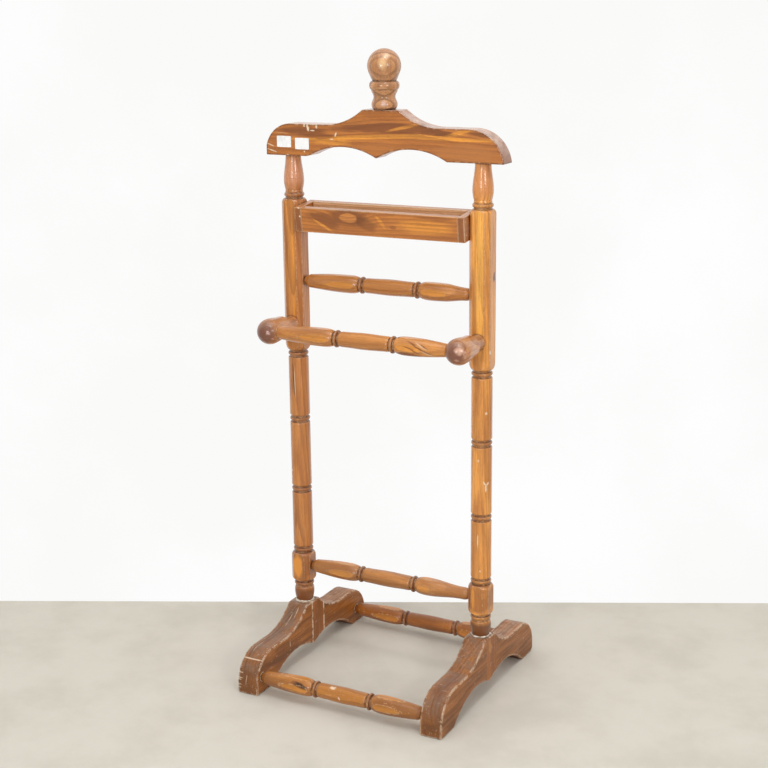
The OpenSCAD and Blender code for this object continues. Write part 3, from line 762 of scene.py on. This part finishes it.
posts = {
    "left_post": {
        "x": -181, "pith": (-176, 18, 750), "tilt": (2.0, 0.4), "seed": 3.0,
        "light": shade(210, 138, 70),
        "patches": [
            patch((-181, 4, 178), (40, 40, 32), shade(146, 88, 48), 0.7),
            patch((-175.5, -15, 730), (3.6, 4, 150), gold, 0.6, ragged=0.3),
            patch((-190, -15, 740), (5, 4, 150), brown, 0.4, ragged=0.4),
            patch((-183, -15.3, 177), (12, 2, 26), shade(255, 166, 56), 0.65, ragged=0.3, over=True),
            # A pale pinkish veil over the neck: it evens out the grain and paints in part of its soft
            # highlight
            patch((-181, 4, 906), (30, 30, 34), shade(216, 152, 120), 0.5, ragged=0.3, over=True),
            patch((-181.6, -14.3, 540), (1.6, 4, 38), darkBrown, 0.9, turn=(0, -2, 0), ragged=0.4,
                  over=True),
            patch((-179.6, -14.3, 530), (1.1, 4, 34), pale, 0.55, turn=(0, -2, 0), ragged=0.5),
            patch((-191.5, -10.8, 363.6), (1.5, 2, 2), pale, 0.9),
            patch((-193.1, -9.6, 350.4), (1.5, 2, 2.2), pale, 0.9),
        ],
    },
    "right_post": {
        "x": 181, "pith": (192, 34, 700), "tilt": (1.2, 0.6), "seed": 11.0,
        "light": shade(248, 170, 80),
        "patches": [
            patch((181, 4, 178), (40, 40, 32), shade(150, 86, 40), 0.75),
            patch((181, 4, 268), (40, 40, 90), shade(206, 132, 60), 0.6, ragged=0.3, soft=0.7),
            patch((181, 4, 119), (40, 40, 19), shade(96, 54, 32), 0.45, ragged=0.2, over=True),
            patch((184, -15, 750), (9, 4, 160), shade(255, 188, 88), 0.9, ragged=0.3),
            patch((176, -15, 700), (3, 4, 130), brown, 0.3, ragged=0.4),
            patch((174, -15.3, 180), (4, 2, 24), gold, 0.6, ragged=0.3),
            patch((181, 4, 906), (30, 30, 34), shade(204, 132, 84), 0.6, ragged=0.3, over=True),
            patch((200.3, 8, 749), (6, 5, 9), darkBrown, 0.8, ragged=0.6, over=True),
            patch((194.6, -8.1, 516.9), (2.2, 3, 3), pale, 0.8, ragged=0.8),
            patch((182.9, -14.1, 433.2), (2, 3, 3), pale, 0.6),
            patch((194.6, -8.1, 384), (1.3, 3, 9), pale, 0.9, ragged=0.4),
            patch((192.5, -9.6, 393), (1.2, 3, 5), pale, 0.9, turn=(0, -24, 0), ragged=0.4),
            patch((197, -5, 392), (1.2, 3, 4.5), pale, 0.9, turn=(0, 24, 0), ragged=0.4),
            patch((182.3, -14.1, 288), (1.2, 3, 13), pale, 0.8, ragged=0.8, grit=2.4),
            patch((186.8, -13.2, 231.9), (1.6, 3, 2), pale, 0.7),
            patch((200.3, -6, 623), (2.0, 3, 4), pale, 0.9, ragged=0.7),
        ],
    },
    "y": 4,
    # Heights of the rings' middles and of the cup are above the floor
    "rings": {"axis": 2, "at": (142, 210, 328, 462, 584, 869), "half": 5.5, "colour": redBrown,
              "strength": 0.35},
    "cup": {"height": 119, "size": (40, 40, 19), "shade": shade(112, 62, 30), "strength": 0.85},
    "flats": {"half": 19.25, "colour": gold, "strength": 0.15, "ridge": 0.35},
    # Strong pale edge wear also paints the highlights on the rings' bead crests
    "look": {"lateStrength": 0.55, "fibreStrength": 0.25, "ringWidth": 4.6, "wave": 7.0,
             "rimStrength": 0.3, "wearAndHighlightStrength": 0.6, "patchy": 0.6},
}


def makePosts():
    cup, y = posts["cup"], posts["y"]
    for name in ("left_post", "right_post"):
        values = posts[name]
        x = values["x"]
        darkPatch = patch((x, y, cup["height"]), cup["size"], cup["shade"], cup["strength"], ragged=0.2,
                      grit=1.0)
        flats = dict(posts["flats"], middle={0: x, 1: y})
        wood = pine(name + "Pine", upright, values["pith"], values["seed"], values["patches"] + [darkPatch],
                    tilt=values["tilt"], bands=posts["rings"], flats=flats, light=values["light"],
                    **posts["look"])
        dress(name, wood)


makePosts()
print("finial and posts done")


bars = {
    "lower_bar": {"seed": 21.0, "shift": -3, "hollow": (0.0, 0.8), "changes": {
        "light": shade(200, 134, 68), "cloud": shade(148, 94, 46)}},
    "middle_bar": {"seed": 26.0, "shift": 7, "hollow": (0.2, 0.9), "changes": {}},
    "trouser_bar": {"seed": 31.0, "shift": 7.5, "changes": {}, "patches": [
        patch((73.6, -91.8, 655.8), (3, 5, 3), darkBrown, 0.8, ragged=0.6),
        patch((90, -98, 628), (34, 16, 6.5), shade(122, 66, 34), 0.85, over=True),
        patch((118, -104, 647), (15, 6, 1.6), pale, 0.4, turn=(0, 24, 0), ragged=0.9, grit=3.2),
        patch((131, -102, 634), (13, 6, 1.8), pale, 0.45, turn=(0, 20, 0), ragged=0.9, grit=3.2),
        *(patch((x, -104, z), (long, 8, 1.3), brown, 0.85, turn=(0, lean, 0), ragged=0.9, grit=3.2,
                over=True)
          for x, z, long, lean in ((101, 650, 12, 18), (109, 645.5, 14, 27), (119, 641.5, 12, 22),
                                   (128, 637, 14, 20), (108, 636.5, 12, 22), (124, 646, 10, 26),
                                   (96, 642, 12, 12))),
    ]},
    "front_foot_bar": {"seed": 41.0, "shift": 5, "ridge": 0.45, "changes": {
        "light": shade(186, 120, 46), "cloud": shade(122, 74, 32), "scratches": 0.6, "coat": 0.5,
    }, "patches": [
        patch((-76, -195.6, 38), (24, 5, 5), shade(98, 54, 24), 0.75, turn=(0, 13, 0), over=True),
        patch((-73, -195.6, 38.4), (15, 4, 3), shade(62, 34, 16), 0.9, turn=(0, 15, 0), over=True),
        patch((-12.6, -187.7, 43.6), (7, 5, 2.6), pale, 0.8, ragged=0.9, grit=2.4),
        patch((3.8, -196.2, 30.2), (1.6, 4, 4), pale, 0.8, turn=(0, -25, 0), ragged=0.6),
    ]},
    "rear_foot_bar": {"seed": 46.0, "shift": 5, "ridge": 0.35, "changes": {
        "light": shade(178, 106, 36), "cloud": shade(104, 58, 22), "scratches": 0.4, "coat": 0.5}},
    "look": {"light": shade(216, 144, 68), "cloud": shade(168, 106, 50), "cloudStrength": 0.65},
    "ringAt": 53.4,
    "rings": {"axis": 0, "half": 4.5, "colour": redBrown, "strength": 0.35},
    "flats": {"half": 15, "colour": gold, "strength": 0.4},
    "ridge": 0.15,
    "pithFrom": (24, -16),
    # The right taper runs from the swelling to the post; the skin is what moves, the core stays
    "swellAt": 80.4,
    "swellReach": 16.2,
    "endAt": 161.75,
    "endReach": 11,
    "skin": 0.2,
    "core": 1,
}


# Draws the right end of a bar in to a hollow neck, over the given share of its taper
def slimmed(name, middle, material):
    start = bars[name]["shift"] + bars["swellAt"]
    first, last = bars[name]["hollow"]
    rise = bars["swellReach"] - bars["endReach"]
    shape = copyOf(name)
    for vert in shape.verts:
        y, z = vert.co.y / mm - middle.y, vert.co.z / mm - middle.z
        share = (vert.co.x / mm - start) / (bars["endAt"] - start)
        away = math.hypot(y, z)
        if 0 < share < 1 and away > bars["core"]:
            full = bars["endReach"] + rise * math.cos(math.pi / 2 * share)
            bend = min(1, max(0, (share - first) / (last - first)))
            hollow = bars["endReach"] + rise * (1 + math.cos(math.pi * bend)) / 2
            flat = bars["flats"]["half"] * away / max(abs(y), abs(z))
            if away > min(full, flat) - bars["skin"]:
                thin = min(full, hollow, flat) / away
                vert.co.y = (middle.y + y * thin) * mm
                vert.co.z = (middle.z + z * thin) * mm
    standIn(name, shape, material, copies["turnedSharp"])


def makeBars():
    pithY, pithZ = bars["pithFrom"]
    for name in ("lower_bar", "middle_bar", "trouser_bar", "front_foot_bar", "rear_foot_bar"):
        values = bars[name]
        low, high = (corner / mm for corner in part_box(name))
        middle = (low + high) / 2
        bands = dict(bars["rings"], at=[values["shift"] + side * bars["ringAt"] for side in (-1, 1)])
        flats = dict(bars["flats"], middle={1: middle.y, 2: middle.z},
                     ridge=values.get("ridge", bars["ridge"]))
        pith = (0, middle.y + pithY, middle.z + pithZ)
        look = dict(bars["look"], **values["changes"])
        wood = pine(name + "Pine", acrossX, pith, values["seed"], values.get("patches", ()),
                    bands=bands, flats=flats, **look)
        if "hollow" in values:
            slimmed(name, middle, wood)
        else:
            dress(name, wood)


arms = {
    "left_arm": {"x": -181, "seed": 61.0, "patches": [
        patch((-181, -108, 641), (26, 26, 26), shade(98, 56, 46), 0.4, ragged=0.4, over=True),
        # Painted highlights: small pale pinkish spots on the ball
        patch((-172, -111, 642), (4, 5, 4), shade(236, 196, 186), 0.6, ragged=0.9, soft=0.7, over=True),
        patch((-166, -106, 632), (3, 5, 2), shade(226, 176, 166), 0.6, ragged=0.9, soft=0.7, over=True),
    ]},
    "right_arm": {"x": 181, "seed": 67.0, "patches": [
        patch((181, -108, 641), (26, 26, 26), shade(120, 74, 58), 0.4, ragged=0.5, over=True),
        # Painted highlights: pale pinkish spots across the ball's front
        patch((191, -108, 647), (10, 9, 9), shade(240, 192, 164), 0.75, ragged=0.7, soft=0.8, over=True),
        patch((198, -100, 640), (5, 8, 8), shade(236, 186, 158), 0.5, ragged=0.9, soft=0.7, over=True),
        patch((186, -110, 630), (5, 8, 4), shade(214, 160, 134), 0.5, ragged=0.9, soft=0.7, over=True),
    ]},
    "height": 641,
    "pithFrom": (5, 8),
    # The necks are painted darker where the arms meet the posts
    "neck": {"at": -29, "size": (20, 13, 20), "shade": shade(128, 78, 52), "strength": 0.5},
    "look": {"light": shade(210, 142, 82), "endGrain": shade(116, 70, 54), "endStrength": 0.85,
             "lateStrength": 0.7, "ringWidth": 3.6, "dustAndSheen": 0.5, "dustAndSheenColour": shade(176, 146, 122)},
}


def makeArms():
    neck, z = arms["neck"], arms["height"]
    pithX, pithZ = arms["pithFrom"]
    for name in ("left_arm", "right_arm"):
        x = arms[name]["x"]
        darkPatch = patch((x, neck["at"], z), neck["size"], neck["shade"], neck["strength"], ragged=0.4)
        dress(name, pine(name + "Pine", alongY, (x + pithX, 0, z + pithZ), arms[name]["seed"],
                         [darkPatch] + arms[name]["patches"], **arms["look"]))


makeBars()
makeArms()
print("bars and arms done")


tray = {
    "rounding": 0.8,
    "look": {"wearAndHighlightStrength": 0.75, "patchy": 0.1, "light": shade(208, 130, 56), "lateStrength": 0.55,
             "rimStrength": 0.5, "grooveStrength": 0.45, "grooveReach": 3.0,
             "dustAndSheen": 0.4, "dustAndSheenColour": shade(176, 142, 116)},
    "rails": {"grain": acrossX, "pith": (0, 20, 770), "ringWidth": 6.0},
    "ends": {"grain": alongY, "pith": (30, 0, 790), "ringWidth": 3.4},
    "longEdge": 10,
    "boards": {
        "tray_front": {"kind": "rails", "seed": 71.0, "patches": [
            patch((-104, -28, 830), (36, 8, 15), brown, 0.75, turn=(0, 14, 0), ragged=0.5),
            patch((-108, -28, 822), (26, 8, 3.2), gold, 0.75, turn=(0, 28, 0), ragged=0.4),
            patch((-56, -28, 838), (42, 8, 19), brown, 0.8, ragged=0.4),
            patch((-24, -28, 828), (26, 8, 14), darkBrown, 0.45, turn=(0, 20, 0), ragged=0.5),
            patch((-56, -28, 838), (19, 8, 9), shade(214, 138, 66), 0.95, ragged=0.2, soft=0.2),
            patch((6, -28, 834), (16, 8, 4), gold, 0.7, turn=(0, 50, 0), ragged=0.4),
            patch((90, -28, 829), (60, 8, 16), gold, 0.6, ragged=0.4),
            patch((29, -28, 826), (8, 8, 4), brown, 0.5),
            patch((110, -28, 846), (40, 8, 4), brown, 0.5, ragged=0.5),
        ], "knots": [{"at": (-56, -28, 838), "size": (46, 30, 20), "height": 2.6}]},
        # The inner side of the back board is paler than the outside
        "tray_back": {"kind": "rails", "seed": 75.0, "patches": [
            patch((0, 16.9, 835), (400, 5, 60), shade(232, 186, 140), 0.9, turn=(7, 0, 0), ragged=0.1),
        ]},
        "tray_left_end": {"kind": "ends", "seed": 77.0, "patches": [
            patch((-152.0, -27.5, 835.4), (1.9, 4, 1.9), pale, 1.0),
            patch((-153.5, -28.6, 850.6), (2.4, 4, 2.2), pale, 1.0),
        ]},
        "tray_right_end": {"kind": "ends", "seed": 81.0, "patches": [
            patch((162, -22, 833), (3, 14, 30), shade(180, 144, 120), 0.75, over=True),
        ]},
    },
    "bottom": {"pith": (0, 30, 700), "seed": 74.0, "light": shade(196, 136, 82)},
}


def isLong(edge):
    return edge.calc_length() > tray["longEdge"] * mm


def makeTray():
    for name, values in tray["boards"].items():
        kind = tray[values["kind"]]
        wood = pine(name + "Pine", kind["grain"], kind["pith"], values["seed"], values["patches"],
                    values.get("knots", ()), ringWidth=kind["ringWidth"], **tray["look"])
        softened(name, tray["rounding"], isLong, wood)
    bottom = tray["bottom"]
    dress("tray_bottom", pine("trayBottomPine", acrossX, bottom["pith"], bottom["seed"],
                              light=bottom["light"]))


makeTray()
print("tray done")


feet = {
    "rounding": 2.2,
    "look": {
        "light": shade(178, 106, 38), "late": shade(82, 46, 18), "cloud": shade(122, 70, 26),
        "endGrain": shade(106, 66, 36), "wearAndHighlight": shade(240, 216, 186), "wearAndHighlightStrength": 0.95,
        "patchy": 0.4, "roughness": 0.45, "coat": 0.2, "ringWidth": 7.0, "wave": 5.0,
        "scratches": 0.5, "rimStrength": 0.35, "cloudStrength": 0.8, "lateStrength": 0.45,
        "fibreStrength": 0.4, "edgeReach": 5.5,
    },
    "front": {"grain": alongY, "pith": (70, 0, 60), "seed": 51.0, "dustAndSheen": 0.75,
              "dustAndSheenColour": shade(126, 102, 84)},
    "core": {"grain": upright, "pith": (30, 40, 0), "seed": 54.0, "dustAndSheen": 0.3,
             "dustAndSheenColour": shade(150, 124, 104), "light": shade(180, 106, 42),
             "cloud": shade(142, 82, 32), "lateStrength": 0.3, "fibreStrength": 0.15},
    "rear": {"grain": alongY, "pith": (70, 0, 50), "seed": 57.0, "dustAndSheen": 0.6,
             "dustAndSheenColour": shade(180, 142, 110)},
    # The pale glue lines where the blocks meet, and the whitish lacquer round the post
    "seam": {"height": 60, "size": (40, 0.7, 70), "shade": shade(222, 180, 142)},
    "lacquer": {"at": (4, 108), "size": (27, 26, 3), "shade": shade(196, 182, 164), "strength": 0.6},
    # Where the bars meet the feet, as depth and height, and how far round them an edge stays sharp
    "barSpots": ((-182, 31), (166, 29)),
    "tenonReach": 8.5,
    "longEdge": 30,
    "left": {"x": -181, "joints": (-4, 38), "patches": [
        patch((-182, -179.4, 60), (26, 1.6, 1.6), pale, 0.65, ragged=0.8),
        patch((-160.5, -86.2, 54.3), (2, 1.0, 6), pale, 0.9),
        patch((-160.5, -120, 45), (3, 30, 22), shade(120, 66, 30), 0.4),
        patch((-184, -70, 92), (18, 62, 24), shade(92, 66, 48), 0.6, ragged=0.6),
        patch((-183, -60, 90), (1.2, 30, 14), pale, 0.4, ragged=0.9),
        patch((-176, -42, 98), (1.4, 22, 12), pale, 0.5, ragged=0.9),
        patch((-190, -150, 78), (1.2, 24, 14), pale, 0.35, ragged=0.9),
        patch((-184, -200, 32), (0.8, 4, 18), pale, 0.6, turn=(0, 4, 0), ragged=0.6),
        *(patch((-200 + height % 3, -198, height), (4 + height % 5, 8, 1.1), pale, 0.55,
                turn=(0, height % 9 - 3, 0), ragged=0.9)
          for height in (11, 17, 26, 29, 38, 46, 49, 57)),
    ], "seamStrength": 0.75},
    "right": {"x": 181, "joints": (-14, 28), "seamStrength": 0.15, "patches": [
        patch((201, 0, 88), (3, 8, 16), shade(204, 140, 66), 0.6, turn=(20, 0, 0), ragged=0.6),
        patch((181, -150, 86), (19, 70, 34), shade(112, 66, 38), 0.55, ragged=0.6, over=True),
        patch((170, -26, 96), (6, 26, 12), shade(184, 116, 60), 0.6, ragged=0.4),
        patch((190, -40, 88), (5, 30, 16), shade(186, 124, 66), 0.5, ragged=0.4),
    ]},
}


def makeFeet():
    seam, lacquer = feet["seam"], feet["lacquer"]
    for side in ("left", "right"):
        values = feet[side]
        x = values["x"]
        shared = [patch((x, joint, seam["height"]), seam["size"], seam["shade"],
                        values["seamStrength"], ragged=0.2, grit=1.0) for joint in values["joints"]]
        shared.append(patch((x, *lacquer["at"]), lacquer["size"], lacquer["shade"],
                            lacquer["strength"], ragged=0.9, grit=2.2))
        for part in ("front", "core", "rear"):
            name = f"{side}_foot_{part}"
            low, high = (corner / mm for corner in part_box(name))

            def keep(edge, low=low, high=high):
                a, b = edgeEnds(edge)
                if any(near(a.y, joint) and near(b.y, joint) for joint in values["joints"]):
                    return False
                middle = (a + b) / 2
                fromBars = [math.hypot(middle.y - y, middle.z - z) for y, z in feet["barSpots"]]
                if min(fromBars) < feet["tenonReach"]:
                    return False
                rim = any(near(a.x, face) and near(b.x, face) for face in (low.x, high.x))
                return rim or edge.calc_length() > feet["longEdge"] * mm

            look = dict(feet["look"], **feet[part])
            grain = look.pop("grain")
            pith = Vector(look.pop("pith")) + Vector((x, 0, 0))
            seed = look.pop("seed") + (side == "right")
            plain = values["joints"] if side == "right" else ()
            wood = pine(name + "Pine", grain, pith, seed, values["patches"] + shared, plainJoints=plain,
                        **look)
            softened(name, feet["rounding"], keep, wood)


# Glue squeezed out round the posts' feet. The profile is in shares of its width and height.
glue = {
    "centres": {"left_glue_ring": (-181, 4), "right_glue_ring": (181, 4)},
    "inner": 14.6,
    "outer": 17.6,
    "spread": 2.6,
    "height": 2.0,
    "heightSpread": 0.5,
    "steps": 120,
    "profile": ((0, 1.0), (0.25, 0.85), (0.55, 0.55), (0.85, 0.2), (1.0, 0.0), (0.5, -0.02),
                (0, -0.02)),
}


def glueMaterial():
    material, tree = newMaterial("driedGlue")
    place = placeIn(tree)
    cloud = noiseOf(tree, place, 220.0, 4.0)[0]
    colour = mix(tree, ramp(tree, cloud, 0.35, 0.7), shade(228, 220, 206), shade(186, 160, 130))
    surface(tree, {"Base Color": colour, "Roughness": 0.45, "Normal": bump(tree, cloud, 0.4, 0.3)})
    return material


def makeGlue():
    material = glueMaterial()
    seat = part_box("left_foot_core")[1].z / mm
    inner, profile = glue["inner"], glue["profile"]
    for name, (x, y) in glue["centres"].items():
        points, faces = [], []
        for step in range(glue["steps"]):
            angle = 2 * math.pi * step / glue["steps"]
            way = Vector((math.cos(angle), math.sin(angle), 0))
            wobble = noise.noise(way * 1.7 + Vector((x, 0, 0)))
            wobble += 0.5 * noise.noise(way * 5 + Vector((0, x, 0)))
            outer = glue["outer"] + glue["spread"] * wobble
            height = glue["height"] * (1 + glue["heightSpread"] * wobble)
            for out, up in profile:
                radius = inner + (outer - inner) * out
                rise = Vector((0, 0, up * height))
                points.append(Vector((x, y, seat)) * mm + (way * radius + rise) * mm)
        count = len(profile)
        for step in range(glue["steps"]):
            here, there = step * count, (step + 1) % glue["steps"] * count
            for index in range(count):
                after = (index + 1) % count
                faces.append((here + after, there + after, there + index, here + index))
        addPiece(name, points, faces, material, smooth=True)


makeFeet()
makeGlue()
print("feet done")


def steelMaterial():
    material, tree = newMaterial("screwSteel")
    place = placeIn(tree)
    rough = calc(tree, "ADD", times(tree, noiseOf(tree, place, 900.0, 3.0)[0], 0.25), 0.25)
    surface(tree, {"Base Color": shade(176, 172, 164), "Metallic": 1.0, "Roughness": rough})
    return material


joinery = {
    "seed": 95.0,
    "beech": {"light": shade(214, 176, 126), "late": shade(186, 142, 94), "cloud": shade(200, 158, 110),
              "roughness": 0.55, "coat": 0.0, "ringWidth": 2.5},
    "dowels": {"left_foot_dowels": alongY, "right_foot_dowels": alongY, "arm_dowels": alongY,
               "finial_dowel": upright},
}


def makeJoinery():
    for name, grain in joinery["dowels"].items():
        dress(name, pine(name + "Beech", grain, (0, 0, 0), joinery["seed"], **joinery["beech"]))
    steel = steelMaterial()
    dress("tray_screws", steel)
    dress("tray_pins", steel)


makeJoinery()
print("joinery done")
